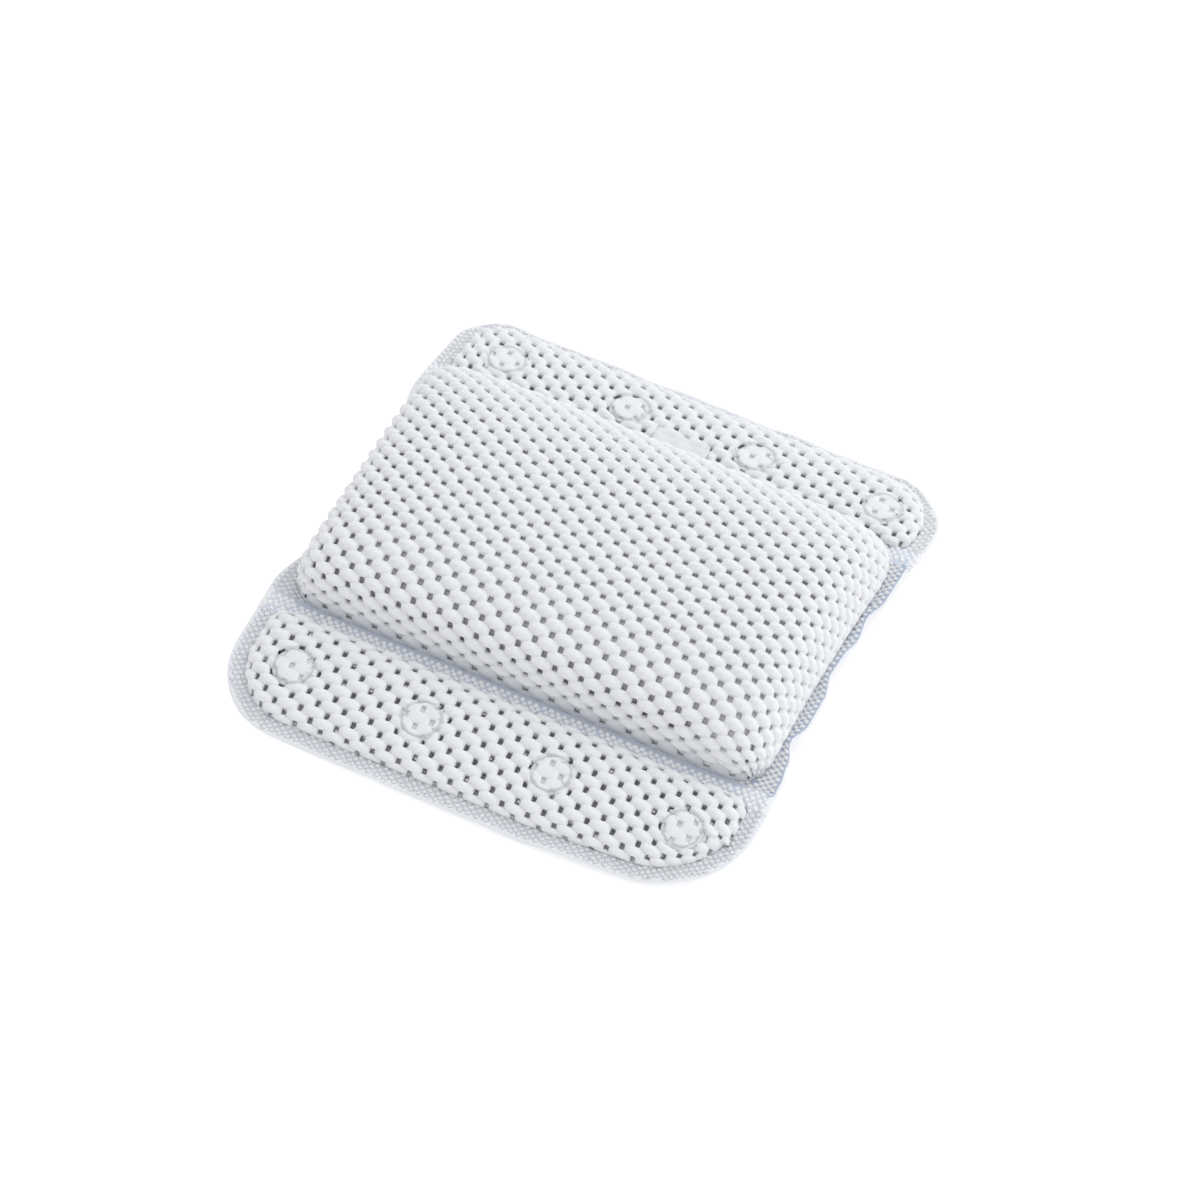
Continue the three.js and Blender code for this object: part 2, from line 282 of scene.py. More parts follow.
materials = {
    # the cover's creases and hole feet are painted lighter than its crown, painted light; the backing's and
    # the rim's are painted darker, the rim's also bluer, painted shade
    "cover": beadMaterial("beadedFoam", grey(0.785, 0.02), grey(0.85, 0.025), grey(0.87, 0.03)),
    "backing": beadMaterial("fineFoam", grey(0.82, 0.03), grey(0.78, 0.04), grey(0.74, 0.04)),
    "ground": groundMaterial(),
    "rim": beadMaterial("rimFoam", grey(0.82, 0.03), grey(0.64, 0.14), grey(0.34, 0.2)),
    "dots": foamMaterial("weldDots", 0.9, 0.03, 0.9),
    # the melted disc inside a ring, a little darker than the beads: partly painted shade of the groove
    "groove": foamMaterial("meltedGroove", 0.74, 0.04, 0.9),
    "core": foamMaterial("coreFoam", 0.95, 0.0, 1.2),
    "vinyl": vinylMaterial(),
    "tape": tapeMaterial(),
}
print("materials ready")


# Meshes from arrays
def newObject(name, mesh):
    made = bpy.data.objects.new(name, mesh)
    bpy.context.scene.collection.objects.link(made)
    return made


def newMesh(name, points, faces):
    mesh = bpy.data.meshes.new(name)
    mesh.from_pydata(np.reshape(points, (-1, 3)).tolist(), [], faces)
    return mesh


def setFloats(mesh, attributes):
    for name, values in attributes.items():
        layer = mesh.attributes.new(name, "FLOAT", "POINT")
        layer.data.foreach_set("value", np.asarray(values, np.float32).ravel())


def setSmooth(mesh):
    mesh.polygons.foreach_set("use_smooth", [True] * len(mesh.polygons))


# Points of a sheet, from its low corner, its size and how many there are each way
def sheetGrid(low, size, counts):
    sides = [start + np.linspace(0, length, count) for start, length, count in zip(low, size, counts)]
    return np.meshgrid(*sides, indexing="ij")


# A surface through rows of points, with its sheet coordinates as a UV map from 0 to 1
def gridSurface(name, points, attributes):
    rows, columns = points.shape[:2]
    index = np.arange(rows * columns).reshape(rows, columns)
    faces = np.stack([index[:-1, :-1], index[1:, :-1], index[1:, 1:], index[:-1, 1:]], -1).reshape(-1, 4)
    mesh = newMesh(name, points, faces.tolist())
    uv = np.stack(sheetGrid((0, 0), (1, 1), (rows, columns)), -1)
    layer = mesh.uv_layers.new(name="sheet")
    layer.data.foreach_set("uv", uv.reshape(-1, 2)[faces.ravel()].astype(np.float32).ravel())
    setSmooth(mesh)
    setFloats(mesh, attributes)
    return newObject(name, mesh)


def faceOutwards(mesh):
    shape = bmesh.new()
    shape.from_mesh(mesh)
    bmesh.ops.remove_doubles(shape, verts=shape.verts, dist=0.01 * mm)
    bmesh.ops.recalc_face_normals(shape, faces=shape.faces)
    shape.to_mesh(mesh)
    shape.free()


def closedMesh(name, points, faces, material, attributes):
    mesh = newMesh(name, points, faces)
    setFloats(mesh, attributes)
    faceOutwards(mesh)
    setSmooth(mesh)
    mesh.materials.append(material)
    return newObject(name, mesh)


# Tiles: a bead shares its creases with its four neighbours and has a hole on each side
tileDepth = {
    "corner": 0.35,  # how far a hole's corner follows the hole's rim, and not the crease
    "sides": {"hole": 0.86, "corner": 0.86, "crease": 0.75},  # where the sides end
}


def beadTile(name, tile):
    reachX, reachY = tile["halfPitchX"], tile["halfPitchY"]
    holeX, holeY = tile["holeX"] / 2, tile["holeY"] / 2
    thick = tile["thickness"]
    quarter = [
        (reachX - holeX, 0, "hole"),
        (reachX - holeX, holeY, "corner"),
        (reachX / 2, reachY / 2, "crease"),
        (holeX, reachY - holeY, "corner"),
        (0, reachY - holeY, "hole"),
    ]
    outline = list(quarter)
    outline += [(-x, y, kind) for x, y, kind in quarter[-2::-1]]
    outline += [(-x, -y, kind) for x, y, kind in quarter[1:]]
    outline += [(x, -y, kind) for x, y, kind in quarter[-2:0:-1]]
    power = tile["roundness"]
    corner = tileDepth["corner"]
    count = len(outline)
    points, faces = [], []
    for share in tile["rings"]:
        steep = tile["shoulder"] * (1 - (1 - share**power) ** (1 / power))
        soft = tile["crease"] * share**2 * (3 - 2 * share)
        for x, y, kind in outline:
            groove = soft * (tile["strand"] if x * y < 0 else 1)
            depth = {"hole": steep, "corner": corner * steep + (1 - corner) * groove, "crease": groove}
            points.append((x * share, y * share, -thick * depth[kind]))
    points += [(x, y, -thick * tileDepth["sides"][kind]) for x, y, kind in outline]
    top = len(points)
    points += [(0, 0, 0), (0, 0, -thick)]
    last = (len(tile["rings"]) - 1) * count
    under = last + count
    for i in range(count):
        after = (i + 1) % count
        for k in range(0, last, count):
            faces.append((k + i, k + after, k + count + after, k + count + i))
        if tile.get("closed") or "hole" in (outline[i][2], outline[after][2]):
            faces.append((under + i, under + after, after, i))
    for i in range(0, count, 2):
        before = (i - 1) % count
        faces.append((top, last + before, last + i, last + i + 1))
        faces.append((top + 1, under + i + 1, under + i, under + before))
    return newObject(name, newMesh(name, np.array(points) * mm, faces))


# A weld dot is a low oval dome
def dotTile(name, dot):
    sides = dot["sides"]
    waist, rise = dot["waist"]
    points, faces = [], []
    for share, height in ((1, -dot["sink"]), (waist, dot["height"] * rise)):
        for i in range(sides):
            angle = 2 * math.pi * i / sides
            x, y = dot["radiusX"] * share * math.cos(angle), dot["radiusY"] * share * math.sin(angle)
            points.append((x, y, height))
    points.append((0, 0, dot["height"]))
    for i in range(sides):
        after = (i + 1) % sides
        faces.append((i, after, sides + after, sides + i))
        faces.append((sides + i, sides + after, 2 * sides))
    return newObject(name, newMesh(name, np.array(points) * mm, faces))


# Geometry Nodes: a staggered lattice of one tile, laid on a surface by its sheet coordinates
tileLengths = ("halfPitchX", "halfPitchY", "wander", "jitter", "thickness")
outlineRadii = ("nearRadius", "leftRadius", "rightRadius")
outlineLengths = ("half", "near", "far", *outlineRadii)
latticeInputs = {
    "Object": ("tile",),
    "Int": ("columns", "rows"),
    "Vector": ("middle", "sheetLow", "sheetSize"),
    "Float": (*tileLengths, "skew", "bow", *outlineLengths),
    "Material": ("material",),
}
lattice = {
    "seed": 5,
    "sizeSpread": 300,  # how much the tiles' sizes vary, for each metre of jitter
    "noiseScale": 38,
    "noiseReach": 3,
    "mergeFlat": 0.02,  # how close points merge on the flat sheet, and on the surface
    "mergeLaid": 0.03,
    "fineDepth": 0.7,  # how deep the finer faces go, and how fine they are
    "fineLevel": 3,
    "topDepth": 0.65,  # how deep a surface's relief counts
    "leastStretch": 0.05,  # of the thickness, where a sheet runs out into a weld
    "margin": 0.2,  # from the lattice's outline to the edge of its sheet
    "boxRadius": 0.5,
    "noLimit": 9999,
}


def buildLatticeTree():
    tree = bpy.data.node_groups.new("wrapLattice", "GeometryNodeTree")
    tree.interface.new_socket("Geometry", in_out="INPUT", socket_type="NodeSocketGeometry")
    for kind, names in latticeInputs.items():
        for name in names:
            tree.interface.new_socket(name, in_out="INPUT", socket_type=f"NodeSocket{kind}")
    tree.interface.new_socket("Geometry", in_out="OUTPUT", socket_type="NodeSocketGeometry")
    given = addNode(tree, "NodeGroupInput").outputs
    add, minus, times, over, least, most, isMore = (
        partial(compute, tree, kind)
        for kind in ("ADD", "SUBTRACT", "MULTIPLY", "DIVIDE", "MINIMUM", "MAXIMUM", "GREATER_THAN")
    )
    addVector, minusVector, overVector, scaled = (
        partial(computeVector, tree, kind) for kind in ("ADD", "SUBTRACT", "DIVIDE", "SCALE")
    )

    def geometry(kind, inputs=None, **settings):
        return addNode(tree, f"GeometryNode{kind}", inputs, **settings).outputs[0]

    def parts(vector):
        return addNode(tree, "ShaderNodeSeparateXYZ", {0: vector}).outputs

    def join(x, y, z=0.0):
        return addNode(tree, "ShaderNodeCombineXYZ", {0: x, 1: y, 2: z}).outputs[0]

    def named(name, kind="FLOAT"):
        return geometry("InputNamedAttribute", {"Name": name}, data_type=kind)

    def choose(test, first, second):
        return geometry("Switch", {"Switch": test, "True": first, "False": second}, input_type="FLOAT")

    def moved(sheet, position):
        return geometry("SetPosition", {"Geometry": sheet, "Position": position})

    def merged(sheet, distance):
        return geometry("MergeByDistance", {"Geometry": sheet, "Distance": distance * mm})

    def sampled(value, kind="FLOAT", spot=None):
        spot = minusVector(spot or geometry("InputPosition"), given["sheetLow"])
        spot = overVector(spot, given["sheetSize"])
        node = addNode(tree, "GeometryNodeSampleUVSurface", {"Mesh": given["Geometry"]}, data_type=kind)
        sockets = [socket for socket in node.inputs if socket.enabled]
        for source, socket in zip((value, named("sheet", "FLOAT_VECTOR"), spot), sockets[1:]):
            tree.links.new(source, socket)
        return [socket for socket in node.outputs if socket.enabled][0]

    # every other point of a grid gets a tile
    width = times(given["halfPitchX"], given["columns"])
    length = times(given["halfPitchY"], given["rows"])
    counts = {2: add(given["columns"], 1), 3: add(given["rows"], 1)}
    grid = geometry("MeshGrid", {0: width, 1: length, **counts})
    ends = {0: (-1, -1, -1), 1: (1, 1, 1), "Seed": lattice["seed"]}
    random = parts(addNode(tree, "FunctionNodeRandomValue", ends, data_type="FLOAT_VECTOR").outputs[0])
    offset = scaled(join(random[0], random[1]), given["jitter"])
    grid = geometry("SetPosition", {"Geometry": grid, "Offset": offset})
    tileScale = add(times(random[2], times(given["jitter"], lattice["sizeSpread"])), 1)
    place = parts(geometry("InputPosition"))
    column = over(add(place[0], width), given["halfPitchX"])
    row = over(add(place[1], length), given["halfPitchY"])
    odd = compute(tree, "MODULO", compute(tree, "ROUND", add(column, row)), 2)
    middle = parts(given["middle"])
    leant = add(place[0], times(place[1], given["skew"]))
    spot = join(add(leant, middle[0]), add(place[1], middle[1]))
    chosen = isMore(minus(odd, sampled(named("bare"), spot=spot)), 0.5)
    tile = addNode(tree, "GeometryNodeObjectInfo", {"Object": given["tile"]}).outputs["Geometry"]
    inputs = {"Points": grid, "Selection": chosen, "Instance": tile, "Scale": tileScale}
    sheet = geometry("RealizeInstances", {0: geometry("InstanceOnPoints", inputs)})
    sheet = merged(sheet, lattice["mergeFlat"])

    # the lattice leans and wanders a little, and stays inside an outline with round corners
    place = geometry("InputPosition")
    inputs = {"Vector": place, "Scale": lattice["noiseScale"], "Detail": 1}
    noise = addNode(tree, "ShaderNodeTexNoise", inputs).outputs["Color"]
    noise = minusVector(noise, (0.5, 0.5, 0.5))
    noise = parts(scaled(noise, times(given["wander"], lattice["noiseReach"])))
    place = parts(place)
    x = add(add(place[0], times(place[1], given["skew"])), noise[0])
    bowed = times(times(place[0], place[0]), given["bow"])
    y = add(add(place[1], noise[1]), add(middle[1], bowed))
    isFar = isMore(y, times(add(given["near"], given["far"]), 0.5))
    farRadius = choose(isMore(x, 0), given["rightRadius"], given["leftRadius"])
    radius = choose(isFar, farRadius, given["nearRadius"])
    innerX = minus(given["half"], radius)
    coreX = least(most(x, times(innerX, -1)), innerX)
    coreY = least(most(y, add(given["near"], radius)), minus(given["far"], radius))
    core = join(coreX, coreY)
    outward = minusVector(join(x, y), core)
    reach = addNode(tree, "ShaderNodeVectorMath", {0: outward}, operation="LENGTH").outputs["Value"]
    share = least(over(radius, most(reach, 1e-7)), 1)
    kept = parts(addVector(core, scaled(outward, share)))
    sheet = moved(sheet, join(add(kept[0], middle[0]), kept[1], place[2]))

    # finer faces where the surface asks for them
    height = parts(geometry("InputPosition"))[2]
    isUpper = isMore(height, times(given["thickness"], -lattice["fineDepth"]))
    fine = times(isMore(sampled(named("fine")), 0.5), isUpper)
    inputs = {"Geometry": sheet, "Selection": fine}
    split = addNode(tree, "GeometryNodeSeparateGeometry", inputs, domain="FACE").outputs
    finer = geometry("SubdivideMesh", {"Mesh": split[0], "Level": lattice["fineLevel"]})
    joined = addNode(tree, "GeometryNodeJoinGeometry")
    tree.links.new(finer, joined.inputs[0])
    tree.links.new(split[1], joined.inputs[0])
    sheet = joined.outputs[0]

    # from the flat sheet to the surface, along its normal
    depth = over(times(height, -1), given["thickness"])
    # depth, for the bead materials' painted light and shade, and the melted tone with its painted shade
    for name, value in (("depth", depth), ("melt", sampled(named("melt")))):
        inputs = {"Geometry": sheet, "Name": name, "Value": value}
        sheet = geometry("StoreNamedAttribute", inputs, data_type="FLOAT", domain="POINT")
    isTop = compute(tree, "LESS_THAN", depth, lattice["topDepth"])
    relief = choose(isTop, sampled(named("relief")), 1.0)
    lift = times(times(height, relief), sampled(named("stretch")))
    onSurface = sampled(geometry("InputPosition"), "FLOAT_VECTOR")
    normal = sampled(geometry("InputNormal"), "FLOAT_VECTOR")
    sheet = moved(sheet, addVector(onSurface, scaled(normal, lift)))
    sheet = geometry("SetShadeSmooth", {"Geometry": merged(sheet, lattice["mergeLaid"])})
    sheet = geometry("SetMaterial", {"Geometry": sheet, "Material": given["material"]})
    addNode(tree, "NodeGroupOutput", {"Geometry": sheet})
    return tree


latticeTree = buildLatticeTree()


# Counts and spacing that the lattice needs for a sheet of this size
def latticeValues(mesh, low, size, outline, material, spare=4):
    return {
        **{key: mesh.get(key, 0) * mm for key in tileLengths},
        **{key: outline[key] * mm for key in outlineLengths},
        "tile": mesh["tile"],
        "columns": 2 * math.ceil(size[0] / mesh["halfPitchX"] / 2) + spare,
        "rows": 2 * math.ceil(size[1] / mesh["halfPitchY"] / 2) + spare,
        "middle": Vector((low[0] + size[0] / 2, low[1] + size[1] / 2, 0)) * mm,
        "skew": mesh["skew"],
        "bow": mesh.get("bow", 0) / mm,
        "sheetLow": Vector((*low, 0)) * mm,
        "sheetSize": Vector((size[0] * mm, size[1] * mm, 1)),
        "material": materials[material],
    }


# Lays a lattice on a surface and leaves a plain mesh, with the surface itself removed
def wrapLattice(name, surface, *sheet):
    given = latticeValues(*sheet)
    modifier = surface.modifiers.new("wrapLattice", "NODES")
    modifier.node_group = latticeTree
    for item in latticeTree.interface.items_tree:
        if item.in_out == "INPUT" and item.name in given:
            modifier[item.identifier] = given[item.name]
    bpy.context.view_layer.update()
    graph = bpy.context.evaluated_depsgraph_get()
    shaped = surface.evaluated_get(graph)
    mesh = bpy.data.meshes.new_from_object(shaped, preserve_all_data_layers=True, depsgraph=graph)
    mesh.name = name
    mesh.validate()
    surface.modifiers.remove(modifier)
    bpy.data.objects.remove(surface)
    print("lattice", name, len(mesh.polygons), "faces")
    return newObject(name, mesh)


# Joins meshes into the first one
def joinPieces(first, *others):
    with bpy.context.temp_override(active_object=first, selected_editable_objects=[first, *others]):
        bpy.ops.object.join()
    return first


# Lengths along a curve, less where the mesh is stretched, with the parameter that gives them
def arcTable(parameter, *coordinates, give=1):
    steps = np.sqrt(sum(np.diff(values) ** 2 for values in coordinates)) / give
    return np.concatenate([[0], np.cumsum(steps)]), parameter


def smoothStep(low, high, value):
    share = np.clip((value - low) / (high - low), 0, 1)
    return share * share * (3 - 2 * share)


# Everything below is drawn in millimetres in the frame of the cushion or of a flap
beads = {
    "halfPitchX": 8.6,
    "halfPitchY": 5.25,
    "holeX": 3.5,
    "holeY": 3.5,
    "thickness": 6.2,
    "shoulder": 0.5,  # depth of a hole's rim, as a share of the thickness
    "crease": 0.35,
    "strand": 0.65,  # depth of a crease inside a diagonal strand of beads, as a share of one beside it
    "roundness": 2.2,
    "rings": (1, 0.82, 0.55, 0.25),
    "skew": -0.045,
    "wander": 0.5,
}
flapBeads = {
    **beads,
    "halfPitchX": 8.4,
    "halfPitchY": 6.05,
    "holeX": 3.1,
    "holeY": 4.5,
    "crease": 0.27,
    "bow": 0.00045,
}
fineBeads = {
    **beads,
    "halfPitchX": 5.6,
    "halfPitchY": 3.6,
    "holeX": 2.2,
    "holeY": 2.0,
    "thickness": 2.2,
    "crease": 0.3,
    "strand": 1,
    "rings": (1, 0.55),
    "skew": 0,
    "wander": 0.3,
}
rimBeads = {
    **fineBeads,
    "halfPitchX": 2.7,
    "halfPitchY": 2.05,
    "holeX": 1.4,
    "holeY": 1.25,
    "thickness": 2.0,
    "shoulder": 0.55,
    "crease": 0.34,
    "rings": (1, 0.6),
    "closed": True,
    "wander": 1.1,
}
# a dot's waist is given as shares of its radius and its height
weldDot = {"radiusX": 1.8, "radiusY": 1.65, "height": 1.15, "sink": 0.4, "sides": 8, "waist": (0.72, 0.7)}
seamDots = {"halfPitchX": 2.3, "halfPitchY": 2.4, "thickness": 1, "skew": 0, "wander": 0.5, "jitter": 0.42}
for mesh in (beads, flapBeads, fineBeads, rimBeads):
    mesh["tile"] = beadTile("beadTile", mesh)
seamDots["tile"] = dotTile("dotTile", weldDot)


def boxOutline(low, size):
    margin = lattice["margin"]
    radii = dict.fromkeys(outlineRadii, lattice["boxRadius"])
    ends = {"near": low[1] + margin, "far": low[1] + size[1] - margin}
    return {"half": size[0] / 2 - margin, **ends, **radii}


# Welds: height of the top and the underside, and whiteness, at a distance from the outer edge; the
# whiteness falls inwards from the outer band, partly the melted film's own tone and partly painted shade of
# the groove
def weldTop(edge):
    return np.interp(edge, *zip(*weld["top"]))


def weldUnder(edge):
    return np.interp(edge, *zip(*weld["under"]))


def weldTone(edge, band):
    return 1 - smoothStep(weld["bandFade"] * band, band, edge)


# Heights of a rim's top and underside, and their whiteness, with slanting ridges: across the outer
# band of the top, and all the way across the underside. The whiteness is painted shade, darker inwards from
# the outer band and in the ridges' valleys.
def ridgedRim(edge, along, band, white):
    far, fast = weld["ridgeWander"]
    turn = 2 * math.pi * (along + weld["ridgeSlant"] * edge) / weld["ridgePitch"]
    ridge = 0.5 + 0.5 * np.cos(turn + far * np.sin(fast * along))
    below = smoothStep(*weld["ridgeFrom"], edge)
    above = below * (1 - smoothStep(*weld["ridgeTo"], edge))
    top = weldTop(edge) + weld["ridge"] * (ridge - 0.5) * above
    under = weldUnder(edge) - weld["ridge"] * (ridge - 0.5) * below
    tones, underTones = (1 - weld["ridgeShade"] * shown * (1 - ridge) for shown in (above, below))
    return top, under, np.maximum(weldTone(edge, band) * tones, white), underTones


# Distances from a rim's edge, close together across its shaped part and wider further in
def edgeSteps(width, count):
    band = weld["band"]
    return np.concatenate([np.linspace(0, band, weld["bandSteps"]), np.linspace(band, width, count)[1:]])


# A closed band from two rows of edges: the top's points and the underside's, along a path
def closedBand(name, top, under, tones, underTones):
    points = np.concatenate([top, under[:, ::-1]], axis=1)
    tones = np.concatenate([tones, underTones[:, ::-1]], axis=1)
    count, around = points.shape[:2]
    index = np.arange(count * around).reshape(count, around)
    after = np.roll(index, -1, axis=1)
    faces = np.stack([index[:-1], index[1:], after[1:], after[:-1]], -1).reshape(-1, 4).tolist()
    faces += [index[0].tolist(), index[-1, ::-1].tolist()]
    return closedMesh(name, points, faces, materials["ground"], {"tone": tones})


# Rows of small beads or dots over a surface whose sheet coordinates are plain distances
def addDots(owner, points, bare, low, size, dots, material):
    ones = np.ones(points.shape[:2])
    surface = gridSurface(owner.name + "Top", points, {"stretch": ones, "relief": ones, "bare": bare})
    far = lattice["noLimit"]
    free = {"half": far, "near": -far, "far": far, **dict.fromkeys(outlineRadii, 1)}
    return joinPieces(owner, wrapLattice(owner.name + "Dots", surface, dots, low, size, free, material, -2))


# A piece takes the place of a CAD part, which is hidden, and, if it moves with one body only, is attached
# to that body
def declare(piece, node, body=None):
    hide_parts(node)
    if body:
        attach(piece, body)


# Cushion
cushionLow, cushionHigh = (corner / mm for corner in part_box("pillow_cover"))
weldHeight = joints["front_flap_fold"]["pos_m"][2] / mm
cushion = {
    "depth": (cushionHigh.y - cushionLow.y) / 2 - weld["padStep"],
    "crown": cushionHigh.z - weldHeight,
    "bulge": 17.5,
    # of the left side, -1, and the right: the padding's reach, how far the side draws in and how
    # far it swells, up to which height and from where on
    "padReach": {-1: 157.1, 1: 153},
    "sideDraw": {-1: 1.5, 1: 3},
    "flankSwell": {-1: 0.5, 1: 2},
    "flankSpan": 24,
    "flankPlace": (0.8, 0.97),
    "cornerCut": 6,
    # how flat the beads are near the weld; how melted they are there, a tone that is partly painted shade;
    # how much painted shade darkens the foot of the front slope; the heights in which each of these fades,
    # and where the front slope starts
    "footFlat": (0.45, (4, 20)),
    "footMeltShade": (0.5, (0.5, 4.5)),
    "footShade": (0.8, (1, 11)),
    "frontPlace": (-0.8, -0.97),
    "footLift": 0.3,  # thickness of the mesh where it meets the weld
    "frontGive": 0.2,  # how far the mesh is stretched on the front slope, and where that starts and is full
    "givePlace": (-0.35, -0.75),
    "widthPower": {-1: 5, 1: 8},
    "depthPower": 2.1,
    "sideShoulder": {-1: 6, 1: 3.6},
    "frontShoulder": 4.5,
    "crownShift": 0.35,  # towards the rear, as a share of the half depth
    "coreGap": 6.4,
    "coreInset": (2.2, 7.5),  # at the core's foot and from a share of its height upwards
    "coreFoot": 0.3,
    "coreNear": 3.5,  # how much closer the core is behind the right side, and where
    "coreNearPlace": (0.6, 0.92),
    # along each side, and how far out the edge of its rim is there
    "sideLine": {
        -1: [(-104, 168.5), (-86, 169.6), (-52, 162), (-36, 162), (54, 163), (87, 169), (104, 167.5)],
        1: [
            (-104, 165), (-84, 163.6), (-70, 161.3), (-53, 155.6), (-39, 159.6), (-18, 159.2), (2, 154.8),
            (16, 155.4), (31, 158), (48, 155.9), (64, 160), (90, 160.4), (104, 164.5),
        ],
    },
    "cornerReach": 34,  # how far the weld runs in below the cushion's corners
    # how far from the edge the rim is white, how white its ground is further in, darker on the right rim as
    # painted shade, and where its small beads start
    "rimBand": {-1: 4.8, 1: 1.4},
    "rimWhite": {-1: weld["tone"], 1: 0},
    "beadEdge": {-1: 2.4, 1: 1.6},
    # points along and across
    "arcSteps": 6001,
    "coverSteps": (300, 240),
    "backingSteps": (260, 200),
    "coreSteps": 60,
    "rimSteps": (260, 8),
    "rimGrid": (84, 200),
}
cushionMiddle = Vector((0, (cushionLow.y + cushionHigh.y) / 2, weldHeight))


def placed(x, y, z, middle):
    return (np.stack(np.broadcast_arrays(x, y, z), -1) + np.array(middle)) * mm


def ofSide(values, tx):
    return np.where(tx < 0, values[-1], values[1])


def cushionRise(tx, ty):
    shift = cushion["crownShift"]
    reach = np.where(ty < shift, (shift - ty) / (1 + shift), (ty - shift) / (1 - shift))
    across = np.clip(1 - np.abs(tx) ** ofSide(cushion["widthPower"], tx), 0, 1)
    across = across ** (1 / ofSide(cushion["sideShoulder"], tx))
    along = np.clip(1 - np.abs(reach) ** cushion["depthPower"], 0, 1) ** (1 / cushion["frontShoulder"])
    return across * along


# The padding's plan: sides that draw in between corners that are round
def cushionPlan(tx, ty, inset=0):
    cut = cushion["cornerCut"]
    half = ofSide(cushion["padReach"], tx) - inset
    depth = cushion["depth"] - inset
    width = half - ofSide(cushion["sideDraw"], tx) * (1 - ty**2) - cut * np.abs(ty) ** (depth / cut)
    return tx * width, ty * (depth - cut * np.abs(tx) ** (half / cut))


# Reach of a rim's edge, by smooth steps from point to point of its line
def rimReach(side, y):
    places, reach = (np.array(values, float) for values in zip(*cushion["sideLine"][side]))
    index = np.clip(np.searchsorted(places, y) - 1, 0, len(places) - 2)
    share = smoothStep(places[index], places[index + 1], y)
    return reach[index] * (1 - share) + reach[index + 1] * share


def cushionSurface(name, steps, foot, height, thickness):
    fine = np.linspace(-1, 1, cushion["arcSteps"])
    fine = np.sign(fine) * (1 - (1 - np.abs(fine)) ** cushion["frontShoulder"])
    still = 0 * fine
    crest = still + cushion["crownShift"]
    lengthX, paramX = arcTable(fine, cushionPlan(fine, crest)[0], height * cushionRise(fine, crest))
    give = 1 + cushion["frontGive"] * smoothStep(*cushion["givePlace"], fine[1:])
    lengthY, paramY = arcTable(fine, cushion["depth"] * fine, height * cushionRise(still, fine), give=give)
    size = (lengthX[-1], lengthY[-1])
    tx, ty = sheetGrid((0, 0), size, steps)
    tx = np.interp(tx, lengthX, paramX) * np.sign(height)
    ty = np.interp(ty, lengthY, paramY)
    x, y = cushionPlan(tx, ty)
    rise = np.abs(height) * cushionRise(tx, ty)
    swell = ofSide(cushion["flankSwell"], tx) * np.sin(np.pi * np.clip(rise / cushion["flankSpan"], 0, 1))
    x = x + np.sign(tx) * swell * smoothStep(*cushion["flankPlace"], np.abs(tx))
    z = np.maximum(foot + np.sign(height) * rise, -weldHeight)
    front = smoothStep(*cushion["frontPlace"], ty)
    feet = (cushion[key] for key in ("footFlat", "footMeltShade", "footShade"))
    flat, melt, shade = (share * (1 - smoothStep(*heights, rise)) for share, heights in feet)
    shape = {
        "stretch": np.clip((rise + cushion["footLift"]) / thickness, lattice["leastStretch"], 1),
        "relief": 1 - flat * (1 - front),
        # the melted foot's tone, and painted shade at the foot of the front slope
        "melt": np.maximum(melt, shade * front),
    }
    return gridSurface(name, placed(x, y, z, cushionMiddle), shape), (-size[0] / 2, -size[1] / 2), size


# One beaded sheet of the cushion, with its flat size
def cushionSheet(name, mesh, material, *shape):
    surface, low, size = cushionSurface(name + "Shape", *shape, mesh["thickness"])
    sheet = wrapLattice(name, surface, mesh, low, size, boxOutline(low, size), material)
    return sheet, (size[0] * mm, size[1] * mm)


def cushionCore():
    steps = np.sin(np.linspace(-math.pi / 2, math.pi / 2, cushion["coreSteps"]))
    tx, ty = np.meshgrid(steps, steps, indexing="ij")
    rise = cushionRise(tx, ty)
    inset = np.interp(rise, (0, cushion["coreFoot"]), cushion["coreInset"])
    near = cushion["coreNear"] * smoothStep(*cushion["coreNearPlace"], tx)
    x, y = cushionPlan(tx, ty, np.maximum(inset - near, inset.min()))
    floor = fineBeads["thickness"] + 1
    upper = placed(x, y, (cushion["crown"] - cushion["coreGap"]) * rise, cushionMiddle)
    lower = placed(x, y, np.maximum((floor - cushion["bulge"]) * rise, floor - weldHeight), cushionMiddle)
    skin = joinPieces(gridSurface("pillow_foam_core", upper, {}), gridSurface("coreUnder", lower[::-1], {}))
    faceOutwards(skin.data)
    skin.data.materials.append(materials["core"])
    return skin


